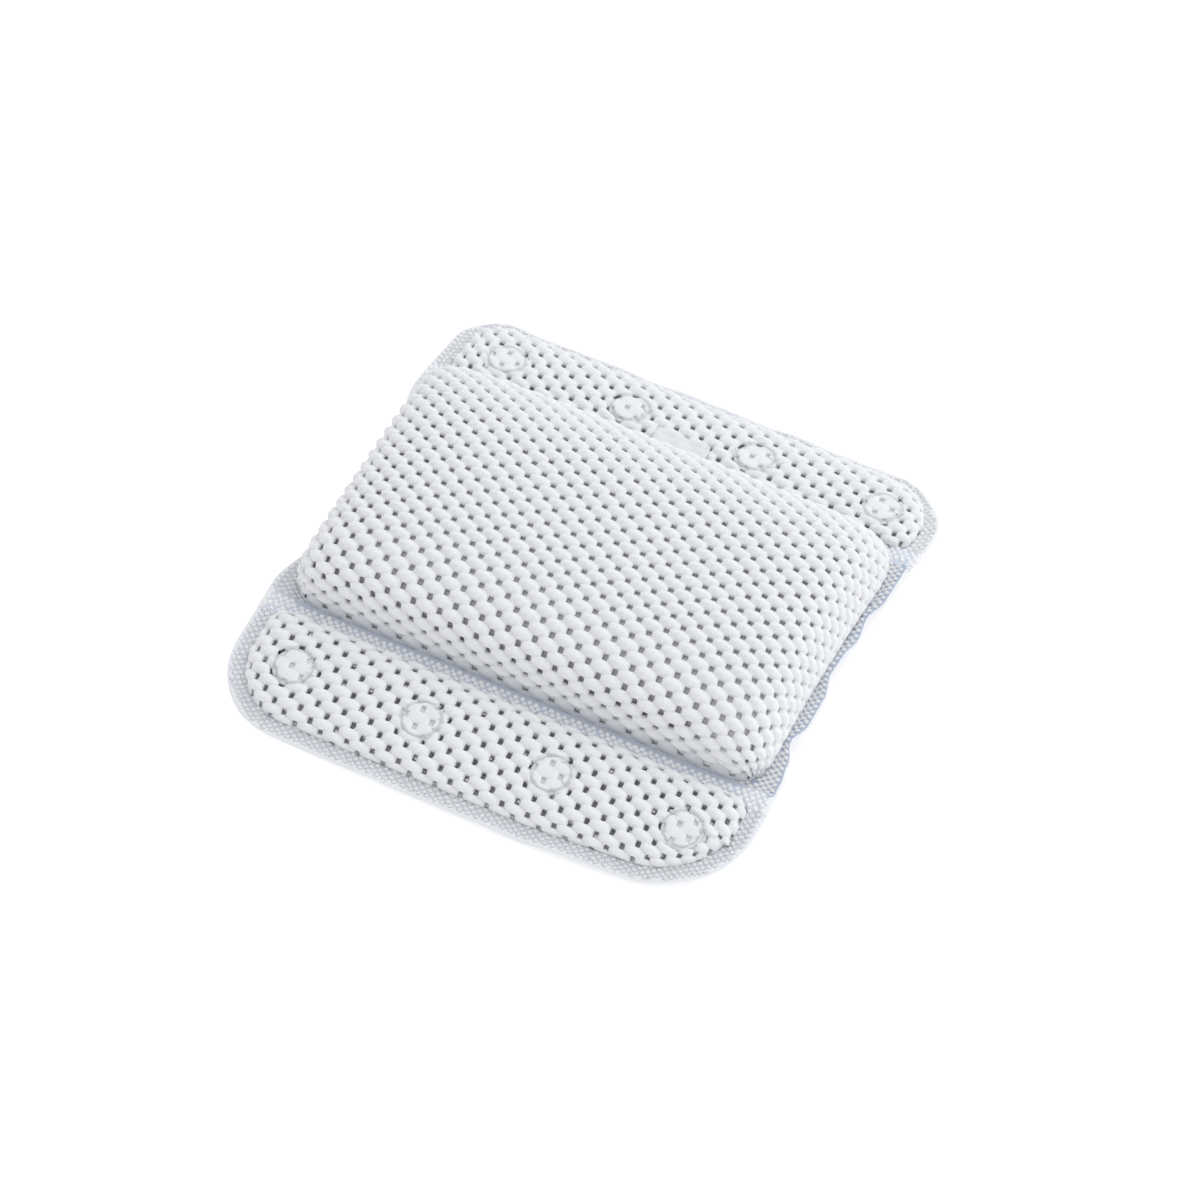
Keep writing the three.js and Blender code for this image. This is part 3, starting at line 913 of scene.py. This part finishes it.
# The weld along one side of the cushion, which widens below the round corners
def cushionRim(name, side):
    depth = cushion["depth"] + weld["padStep"]
    cut = cushion["cornerCut"]
    plain = weld["rimWidth"] + weld["tuck"]
    shaped = weld["band"]
    along, across = cushion["rimSteps"]

    def spot(edge, y, height):
        return placed(side * (rimReach(side, y) - edge), y, height, cushionMiddle)

    y = side * np.linspace(depth, -depth, along)[:, None]
    corner = smoothStep(depth - 2.5 * cut, depth - 1, np.abs(y))
    inner = plain + (cushion["cornerReach"] - plain) * corner
    edge = edgeSteps(plain, across)[None]
    edge = np.where(edge > shaped, shaped + (edge - shaped) * (inner - shaped) / (plain - shaped), edge)
    edge, y = np.broadcast_arrays(edge, y)
    top, under, *tones = ridgedRim(edge, y, cushion["rimBand"][side], cushion["rimWhite"][side])
    band = closedBand(name, spot(edge, y, top), spot(edge, y, under), *tones)
    margin = weld["margin"]
    low = (-cushion["cornerReach"] - margin, -depth - margin)
    size = (cushion["cornerReach"] + 2 * margin, 2 * (depth + margin))
    x, y = sheetGrid(low, size, cushion["rimGrid"])
    edge = np.clip(-x, 0, None)
    y = y * side
    ty = np.clip(y / (depth - cut), -1, 1)
    foot = rimReach(side, y) - side * cushionPlan(side + 0 * ty, ty)[0]
    covered = (edge > foot + 1) & (np.abs(y) < depth - cut)
    outside = (edge < cushion["beadEdge"][side]) | (edge > cushion["cornerReach"] - margin)
    bare = covered | outside | (np.abs(y) > depth - weld["beadEnd"])
    points = spot(edge, y, weldTop(edge) + weld["beadRise"])
    return addDots(band, points, bare, low, size, rimBeads, "rim")


weldFoot = weld["foot"]
shape = (cushion["coverSteps"], weldFoot, cushion["crown"] - weldFoot)
pillowCover, _ = cushionSheet("pillow_beaded_cover", beads, "cover", *shape)
declare(pillowCover, "pillow_cover", "pillow")
pillowCore = cushionCore()
declare(pillowCore, "pillow_core", "pillow")
shape = (cushion["backingSteps"], -weldFoot, weldFoot - cushion["bulge"])
pillowBacking, backingSize = cushionSheet("pillow_fine_backing", fineBeads, "backing", *shape)
declare(pillowBacking, "pillow_backing", "pillow")
for side, name in ((-1, "pillow_left_rim"), (1, "pillow_right_rim")):
    declare(cushionRim(name, side), "pillow_cover", "pillow")
print("cushion ready")

# Flaps, each in its own frame: the fold line along X, +Y out to the rim
flap = {
    # reach of the rim's edge to the left and the right, its corner radii there, and its far edge
    "sides": {"front": (165, 168.5), "rear": (168, 164)},
    "radii": {"front": (62, 50), "rear": (30, 45)},
    "length": {"front": 81.3, "rear": 64.8},
    "sag": {"front": 0.06, "rear": 0},  # how much shorter the flap is towards its left end, and where
    "sagPlace": (30, 120),
    "farRim": {"front": 10.5, "rear": 6.5},  # width of the rim along the far edge
    # how far from the edge the rim is white, how white its ground is further in, which lessens the groove's
    # painted shade and is higher on the rear flap, and where its small beads start and end
    "rimBand": 4.8,
    "rimWhite": {"front": weld["tone"], "rear": 0.8},
    "beadEdge": 2.4,
    "beadOver": 0.6,
    "nearRadius": 12,
    "foldZone": 12,  # how far from its edge the sheet bends down
    "crownPower": 3.2,
    "footDrop": 0.1,  # from the middle of the weld to the underside of the mesh
    "ringRadius": 11.5,
    "ringWidth": 0.7,
    "ringDepth": 1.4,
    # how dark a ring's groove is painted: partly the weld's melted tone, partly painted shade
    "ringTone": {"front": 0.38, "rear": 0.3},
    "ringDish": 0.8,
    "ringReach": 6,
    "ringRelief": 0.3,
    "ringFine": 1.7,
    # radius and depth below the crown of the melted disc in a ring
    "disc": [(0, 2.7), (12.0, 2.7), (12.6, 3.0), (13.0, 4.5), (0, 4.5)],
    "discTurns": 40,
    # waves of the rim's outer edge: height, length and start, and how far from its ends they are full
    "waves": [(0.55, 66, 0.8), (0.35, 39, 2.1)],
    "waveFull": 30,
    # distance between a sheet's points, and points along and across the other surfaces
    "step": 0.5,
    "arcSteps": 4001,
    "backingSteps": (60, 3),
    "pathSteps": (30, 90, 150),
    "rimSteps": 5,
    "rimGrid": (240, 64),
}


def flapFrame(name):
    hinge = joints[f"{name}_flap_fold"]
    up = Vector(joints[f"{name}_cup_1_press"]["axis"])
    along = -Vector(hinge["axis"])
    matrix = Matrix((along, up.cross(along), up)).transposed().to_4x4()
    matrix.translation = Vector(hinge["pos_m"])
    return matrix


def localPoints(node, matrix):
    turn = np.array(matrix.inverted())
    points = np.array([vertex.co for vertex in frame["nodes"][node].data.vertices])
    return (points @ turn[:3, :3].T + turn[:3, 3]) / mm


def flapPanel(name):
    matrix = flapFrame(name)
    width = weld["rimWidth"]
    cups = [localPoints(f"{name}_cup_{i}", matrix) for i in range(1, 5)]
    left, right = flap["sides"][name]
    radii = flap["radii"][name]
    return {
        "name": name,
        "matrix": matrix,
        "crown": localPoints(f"{name}_flap_cover", matrix)[:, 2].max(),
        "length": flap["length"][name],
        "sides": (left, right),
        "radii": radii,
        "middle": (right - left) / 2,
        "half": (left + right) / 2 - width,
        "near": weld["padNear"],
        "far": flap["length"][name] - flap["farRim"][name],
        "nearRadius": flap["nearRadius"],
        "leftRadius": radii[0] - width,
        "rightRadius": radii[1] - width,
        "cups": [(points.min(0) + points.max(0)) / 2 for points in cups],
        "cupHeights": [(points[:, 2].min(), points[:, 2].max()) for points in cups],
    }


# From a flap's own frame to the world
def flapSpot(panel, x, y, z):
    turn = np.array(panel["matrix"])
    points = np.stack(np.broadcast_arrays(x, y, z), -1) * mm
    return points @ turn[:3, :3].T + turn[:3, 3]


# A flap is a little shorter towards one end
def flapSag(panel, x, y):
    return y * (1 - flap["sag"][panel["name"]] * smoothStep(*flap["sagPlace"], -x))


def flapRise(panel, inset):
    half = (panel["far"] - panel["near"]) / 2
    share = 1 - np.clip(inset / half, 0, 1)
    return (1 - share ** flap["crownPower"]) ** (1 / flap["crownPower"])


# A flat sheet whose border bends down over a distance, as points in the flap's plan
def foldedSheet(panel, height):
    inset = flap["foldZone"] * np.linspace(0, 1, flap["arcSteps"]) ** 3
    lengths, insets = arcTable(inset, inset, height * flapRise(panel, inset))
    spare = lengths[-1] - inset[-1]
    outline = {key: panel[key] + (-spare if key == "near" else spare) for key in outlineLengths}
    half, near, far = (outline[key] for key in ("half", "near", "far"))
    low = (panel["middle"] - half, near)
    size = (2 * half, far - near)
    counts = [int(length / flap["step"]) for length in size]
    u, v = sheetGrid((-half, near), size, counts)
    farRadius = np.where(u > 0, outline["rightRadius"], outline["leftRadius"])
    radius = np.where(v > (near + far) / 2, farRadius, outline["nearRadius"])
    coreX = np.clip(u, radius - half, half - radius)
    coreY = np.clip(v, near + radius, far - radius)
    reach = np.hypot(u - coreX, v - coreY)
    inside = np.minimum(half - np.abs(u), np.minimum(far - v, v - near))
    distance = np.where(reach > 0, np.clip(radius - reach, 0, None), inside)
    isBorder = distance < lengths[-1]
    planInset = np.where(isBorder, np.interp(distance, lengths, insets), distance - spare)
    share = (radius - spare - planInset) / np.maximum(reach, 1e-6)
    share = np.where(isBorder & (reach > 1e-6), share, 1)
    x = panel["middle"] + coreX + (u - coreX) * share
    return x, flapSag(panel, x, coreY + (v - coreY) * share), planInset, outline, low, size


def flapCover(panel):
    name = panel["name"]
    height = panel["crown"] - weld["foot"]
    x, y, inset, outline, low, size = foldedSheet(panel, height)
    z = weld["foot"] + height * flapRise(panel, inset)
    stretch = np.clip((z - flap["footDrop"]) / beads["thickness"], lattice["leastStretch"], 1)
    relief = np.ones_like(z)
    fine = np.zeros_like(z)
    melt = np.zeros_like(z)
    ring = flap["ringRadius"]
    for cup in panel["cups"]:
        reach = np.hypot(x - cup[0], y - cup[1])
        groove = np.exp(-(((reach - ring) / flap["ringWidth"]) ** 2))
        # the ring's groove painted darker: partly the weld's melted tone, partly painted shade
        melt = melt + flap["ringTone"][name] * groove
        z = z - flap["ringDepth"] * groove
        z = z - flap["ringDish"] * (1 - smoothStep(ring, ring + flap["ringReach"], reach))
        relief = relief - (1 - flap["ringRelief"]) * (1 - smoothStep(ring - 1, ring + 1, reach))
        fine = np.maximum(fine, np.abs(reach - ring) < flap["ringFine"])
    shape = {"stretch": stretch, "relief": relief, "fine": fine, "melt": melt}
    surface = gridSurface("flapTop", flapSpot(panel, x, y, z), shape)
    margin = lattice["margin"]
    inner = {key: value - (-margin if key == "near" else margin) for key, value in outline.items()}
    sheet = wrapLattice(f"{name}_flap_beaded_cover", surface, flapBeads, low, size, inner, "cover", 8)
    crown = panel["crown"] - flap["ringDish"]
    profile = [(radius, crown - depth) for radius, depth in flap["disc"]]
    look = (profile, flap["discTurns"], materials["groove"])
    return joinPieces(sheet, *(lathed("ringDisc", panel, cup, *look) for cup in panel["cups"]))


# A profile of radius and height, turned about a flap's normal
def lathed(name, panel, middle, profile, turns, material):
    angles = np.linspace(0, 2 * math.pi, turns, endpoint=False)
    radius, height = (np.array(values)[:, None] for values in zip(*profile))
    x = middle[0] + radius * np.cos(angles)[None]
    y = middle[1] + radius * np.sin(angles)[None]
    around = np.arange(len(profile) * turns).reshape(len(profile), turns)
    after = np.roll(around, -1, axis=1)
    faces = np.stack([around[:-1], after[:-1], after[1:], around[1:]], -1).reshape(-1, 4)
    return closedMesh(name, flapSpot(panel, x, y, height), faces.tolist(), material, {})


def flapBacking(panel):
    size = (2 * panel["half"], panel["far"] - panel["near"])
    low = (panel["middle"] - panel["half"], panel["near"])
    x, y = sheetGrid((0, 0), size, flap["backingSteps"])
    x = low[0] + size[0] - x
    y = flapSag(panel, x, low[1] + y)
    ones = np.ones_like(x)
    points = flapSpot(panel, x, y, -weld["face"] * ones)
    surface = gridSurface("flapUnder", points, {"stretch": ones, "relief": ones})
    mirrored = {**panel, "leftRadius": panel["rightRadius"], "rightRadius": panel["leftRadius"]}
    name = f"{panel['name']}_flap_fine_backing"
    backing = wrapLattice(name, surface, fineBeads, low, size, mirrored, "backing")
    return backing, (size[0] * mm, size[1] * mm)


# Waves of a rim's edge along its whole length, which fade towards its ends
def rimWaves(along):
    turns = 2 * math.pi * along
    wave = sum(height * np.sin(turns / length + start) for height, length, start in flap["waves"])
    return wave * smoothStep(0, flap["waveFull"], np.minimum(along, along[-1] - along))


# The edge of a flap, from one end of the fold round the far side to the other, with its outward directions
def rimPath(panel):
    path = []
    far = panel["length"]
    sideSteps, turnSteps, farSteps = flap["pathSteps"]
    for way, half, radius in zip((-1, 1), panel["sides"], panel["radii"]):
        sideLine = np.linspace(weld["seamWidth"] / 2, far - radius, sideSteps)
        edge = [((way * half, y), (way, 0)) for y in sideLine]
        for angle in np.linspace(0, math.pi / 2, turnSteps)[1:]:
            out = (way * math.cos(angle), math.sin(angle))
            edge.append(((way * (half - radius) + radius * out[0], far - radius + radius * out[1]), out))
        edge += [((way * x, far), (0, 1)) for x in np.linspace(half - radius, 0, farSteps)[1:]]
        path += edge if way < 0 else edge[-2::-1]
    return (np.array(values) for values in zip(*path))


def flapRim(panel):
    name = panel["name"]
    far = panel["length"]
    start = weld["seamWidth"] / 2
    width = weld["rimWidth"]
    outer, outward = rimPath(panel)
    steps = np.linalg.norm(np.diff(outer, axis=0), axis=1)
    along = np.concatenate([[0], np.cumsum(steps)])
    waves = rimWaves(along)
    along = along[:, None]
    edge = edgeSteps(width + weld["tuck"], flap["rimSteps"])
    flat = outer[:, None] - outward[:, None] * edge[None, :, None]
    lift = waves[:, None] * np.clip(1 - edge / width, 0, 1)[None]
    edge = np.broadcast_to(edge, flat.shape[:2])
    x, y = flat[..., 0], flapSag(panel, flat[..., 0], flat[..., 1])
    *heights, tones, underTones = ridgedRim(edge, along, flap["rimBand"], flap["rimWhite"][name])
    top, under = (flapSpot(panel, x, y, height + lift) for height in heights)
    band = closedBand(f"{name}_flap_rim", top, under, tones, underTones)
    margin = weld["margin"]
    left, right = panel["sides"]
    low = (-left - margin, start - margin)
    size = (left + right + 2 * margin, far - start + 2 * margin)
    x, y = sheetGrid(low, size, flap["rimGrid"])
    half = np.where(x > 0, right, left)
    radius = np.where(x > 0, panel["radii"][1], panel["radii"][0])
    cornerX = np.clip(np.abs(x) - (half - radius), 0, None)
    cornerY = np.clip(y - (far - radius), 0, None)
    edge = np.minimum(half - np.abs(x), far - y)
    edge = np.where((cornerX > 0) & (cornerY > 0), radius - np.hypot(cornerX, cornerY), edge)
    bare = (edge < flap["beadEdge"]) | (y < start + weld["beadEnd"]) | (edge > width + flap["beadOver"])
    edge = np.clip(edge, 0, None)
    nearest = np.argmin(np.hypot(x[..., None] - outer[:, 0], y[..., None] - outer[:, 1]), axis=-1)
    lift = waves[nearest] * np.clip(1 - edge / width, 0, 1)
    points = flapSpot(panel, x, flapSag(panel, x, y), weldTop(edge) + weld["beadRise"] + lift)
    # the front rim's small beads take the rim material, painted darker and bluer in their creases and
    # holes, painted shade; the rear rim's take the cover's
    return addDots(band, points, bare, low, size, rimBeads, "rim" if name == "front" else "cover")


# The weld along a fold: level on the cushion's side, drooping with the flap on the other
def weldSeam(panel):
    name = panel["name"]
    side = -1 if name == "front" else 1
    left, right = panel["sides"]
    half = (left + right) / 2
    reach = weld["seamWidth"] / 2
    fold = Vector(joints[f"{name}_flap_fold"]["pos_m"]) / mm
    steps = weld["seamSteps"]

    def bent(x, across, height):
        level = placed(x * side, across * side, height, fold)
        return np.where((across > 0)[..., None], flapSpot(panel, x, across, height), level)

    along = np.sin(np.linspace(-math.pi / 2, math.pi / 2, steps[0]))
    wide = reach + weld["padStep"] + weld["tuck"]
    along, across = np.meshgrid(along, np.linspace(-wide, wide, steps[1]), indexing="ij")
    ends = side * (cushion["depth"] + weld["padStep"])
    cushionEnds = [float(rimReach(way * side, np.array(ends))) for way in (-1, 1)]
    share = smoothStep(-reach, reach, across)
    lowX = -(cushionEnds[0] + (left - cushionEnds[0]) * share)
    highX = cushionEnds[1] + (right - cushionEnds[1]) * share
    x = (lowX + highX) / 2 + along * (highX - lowX) / 2
    edge = np.minimum(x - lowX, highX - x)
    top = bent(x, across, weldTop(edge) + weld["seamRise"])
    under = bent(x, across, weldUnder(edge))
    # the seam's ground is painted darker away from its ends: painted shade
    light = weld["tone"] + (weld["seamShadeTone"] - weld["tone"]) * smoothStep(*weld["dotEnd"], edge)
    tones = np.maximum(weldTone(edge, flap["rimBand"]), light)
    band = closedBand(f"{name}_weld_strip", top, under, tones, np.ones_like(tones))
    margin = weld["margin"]
    low = (-left - margin, weld["dotShift"] - reach - margin)
    size = (2 * (half + margin), 2 * (reach + margin))
    x, across = sheetGrid(low, size, weld["seamGrid"])
    edge = half - np.abs(x - panel["middle"])
    near = np.where(edge < weld["dotEnd"][1], -reach - 1, weld["dotFrom"])
    bare = (across < near) | (across > reach + 1) | (edge < weld["dotEdge"])
    points = bent(x, across, weldTop(np.clip(edge, 0, None)))
    return addDots(band, points, bare, low, size, seamDots, "dots")


# Suction cups: one moulding, from inside the bell round the lip to the head
cup = {
    "lipRadius": 15,
    "turns": 32,
    "neckHeight": -1.8,
    # radius as a share of the lip's and height as a share of the whole
    "profile": [
        (0, 0.36), (0.3, 0.345), (0.52, 0.28), (0.72, 0.16), (0.86, 0.03), (0.9, 0.0), (0.97, 0.0),
        (1.0, 0.02), (1.0, 0.06), (0.94, 0.11), (0.85, 0.24), (0.7, 0.39), (0.52, 0.5), (0.36, 0.575),
        (0.29, 0.61), (0.265, 0.66), (0.265, 0.86), (0.3, 0.885), (0.56, 0.89), (0.6, 0.91), (0.6, 0.97),
        (0.57, 1.0), (0.3, 1.0), (0, 1.0),
    ],
}


def suctionCup(panel, index):
    middle = panel["cups"][index - 1]
    lip, top = panel["cupHeights"][index - 1]
    profile = [(cup["lipRadius"] * out, lip + (top - lip) * up) for out, up in cup["profile"]]
    name = f"{panel['name']}_cup_{index}_vinyl"
    moulded = lathed(name, panel, middle, profile, cup["turns"], materials["vinyl"])
    smooth = moulded.modifiers.new("round", "SUBSURF")
    smooth.levels = smooth.render_levels = 1
    heights = (cup["neckHeight"], lip)
    neck, foot = (panel["matrix"] @ (Vector((middle[0], middle[1], height)) * mm) for height in heights)
    return moulded, neck, foot


for flapName in ("front", "rear"):
    panel = flapPanel(flapName)
    body = f"{flapName}_flap"
    sheet = flapCover(panel)
    declare(sheet, f"{body}_cover", body)
    rim = flapRim(panel)
    declare(rim, f"{body}_cover", body)
    under, underSize = flapBacking(panel)
    declare(under, f"{body}_backing", body)
    strip = weldSeam(panel)
    declare(strip, f"{flapName}_weld_seam")
    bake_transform(strip)
    for index in range(1, 5):
        moulded, neck, foot = suctionCup(panel, index)
        declare(moulded, f"{flapName}_cup_{index}")
        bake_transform(moulded)
    print(flapName, "flap ready")


# Blank label, sewn into the rear seam and lying over the edge of the flap
label = {
    "width": 36,
    "start": -0.5,  # from the flap's padding
    "reach": 16,
    "lift": 0.7,
    "thickness": 0.45,
    "curl": 1.6,
    "hem": 0.3,  # height of the folded edge, and where along the label it starts
    "hemStart": 0.8,
    "corner": 0.05,  # how far the free corners draw in, and how close to them that is
    "cornerPower": 8,
    # creases: height, length, start and lean
    "creases": [(0.45, 15, 0.4, 0.5), (0.25, 6.3, 1.7, -0.8)],
    "steps": (49, 31),
}


def blankLabel(panel):
    half = label["width"] / 2
    start = panel["near"] + label["start"]
    power = label["cornerPower"]
    x = np.linspace(-half, half, label["steps"][0])
    y = np.linspace(start, label["reach"], label["steps"][1])
    x, y = np.meshgrid(x, y, indexing="ij")
    height = panel["crown"] - weld["foot"]
    along = (y - y.min()) / (y.max() - y.min())
    z = weld["foot"] + height * flapRise(panel, y - panel["near"]) + label["lift"]
    z = z + label["curl"] * along**3 * (x / half) ** 2 + label["hem"] * (along > label["hemStart"])
    for crease, length, begin, lean in label["creases"]:
        z = z + crease * along * np.sin(2 * math.pi * (x + lean * y) / length + begin)
    x = x * (1 - label["corner"] * along**power)
    y = y - label["corner"] * y * np.abs(x / half) ** power
    surface = gridSurface("blank_label", flapSpot(panel, x, y, z), {})
    surface.data.materials.append(materials["tape"])
    thicken = surface.modifiers.new("thickness", "SOLIDIFY")
    thicken.thickness = label["thickness"] * mm
    thicken.offset = 1
    return surface, (label["width"] * mm, (label["reach"] - start) * mm)


tag, tagSize = blankLabel(panel)
declare(tag, "label_tag", "rear_flap")
print("label ready")

# Floor and light
stage = {
    "floorSize": 8,
    "floor": (0.85, 0.85, 0.85, 1),
    # glow of the floor below the object and around it, where it changes and how square that outline is: the
    # floor glows more outside the object's outline, painted light that washes out the object's shadow there
    "floorGlow": (0.28, 0.48),
    "glowPlace": (0.94, 1.02),
    "glowPower": 5,
    "sky": (0.98, 0.985, 1.0, 1),
    "skyStrength": 0.75,
    "lightColor": (0.94, 0.965, 1.0),
    # name, place, size and power of each light
    "lights": [("keyLight", (1.0, 1.5, 2.4), 3.2, 50), ("fillLight", (0.4, -2.4, 1.5), 2, 7)],
}


def floorMaterial():
    pale = {"Base_Color": stage["floor"], "Emission_Color": stage["floor"]}
    material, tree, shader = newMaterial("paleFloor", 0.9, Specular_IOR_Level=0.0, **pale)
    power = stage["glowPower"]
    place = addNode(tree, "ShaderNodeTexCoord").outputs["Object"]
    place = computeVector(tree, "DIVIDE", place, (cadBox[1][0], cadBox[1][1], 1))
    across = addNode(tree, "ShaderNodeSeparateXYZ", {0: place}).outputs
    sides = [compute(tree, "POWER", compute(tree, "ABSOLUTE", across[i]), power) for i in (0, 1)]
    reach = compute(tree, "POWER", compute(tree, "ADD", *sides), 1 / power)
    ends = zip(("From Min", "From Max", "To Min", "To Max"), (*stage["glowPlace"], *stage["floorGlow"]))
    inputs = {"Value": reach, **dict(ends)}
    glow = addNode(tree, "ShaderNodeMapRange", inputs, interpolation_type="SMOOTHSTEP").outputs[0]
    tree.links.new(glow, shader.inputs["Emission Strength"])
    return material


def makeStage():
    bpy.ops.mesh.primitive_plane_add(size=stage["floorSize"])
    floor = bpy.context.object
    floor.name = "floor"
    floor.data.materials.append(floorMaterial())
    world = bpy.data.worlds.new("studio")
    world.use_nodes = True
    background = world.node_tree.nodes["Background"].inputs
    background["Color"].default_value = stage["sky"]
    background["Strength"].default_value = stage["skyStrength"]
    bpy.context.scene.world = world
    for name, place, size, power in stage["lights"]:
        data = bpy.data.lights.new(name, "AREA")
        data.size = size
        data.energy = power
        data.color = stage["lightColor"]
        light = bpy.data.objects.new(name, data)
        light.location = place
        light.rotation_euler = (-Vector(place)).to_track_quat("-Z", "Y").to_euler()
        bpy.context.scene.collection.objects.link(light)
    bpy.context.scene.view_settings.view_transform = "Standard"


makeStage()
for mesh in (beads, flapBeads, fineBeads, rimBeads, seamDots):
    bpy.data.objects.remove(mesh["tile"])
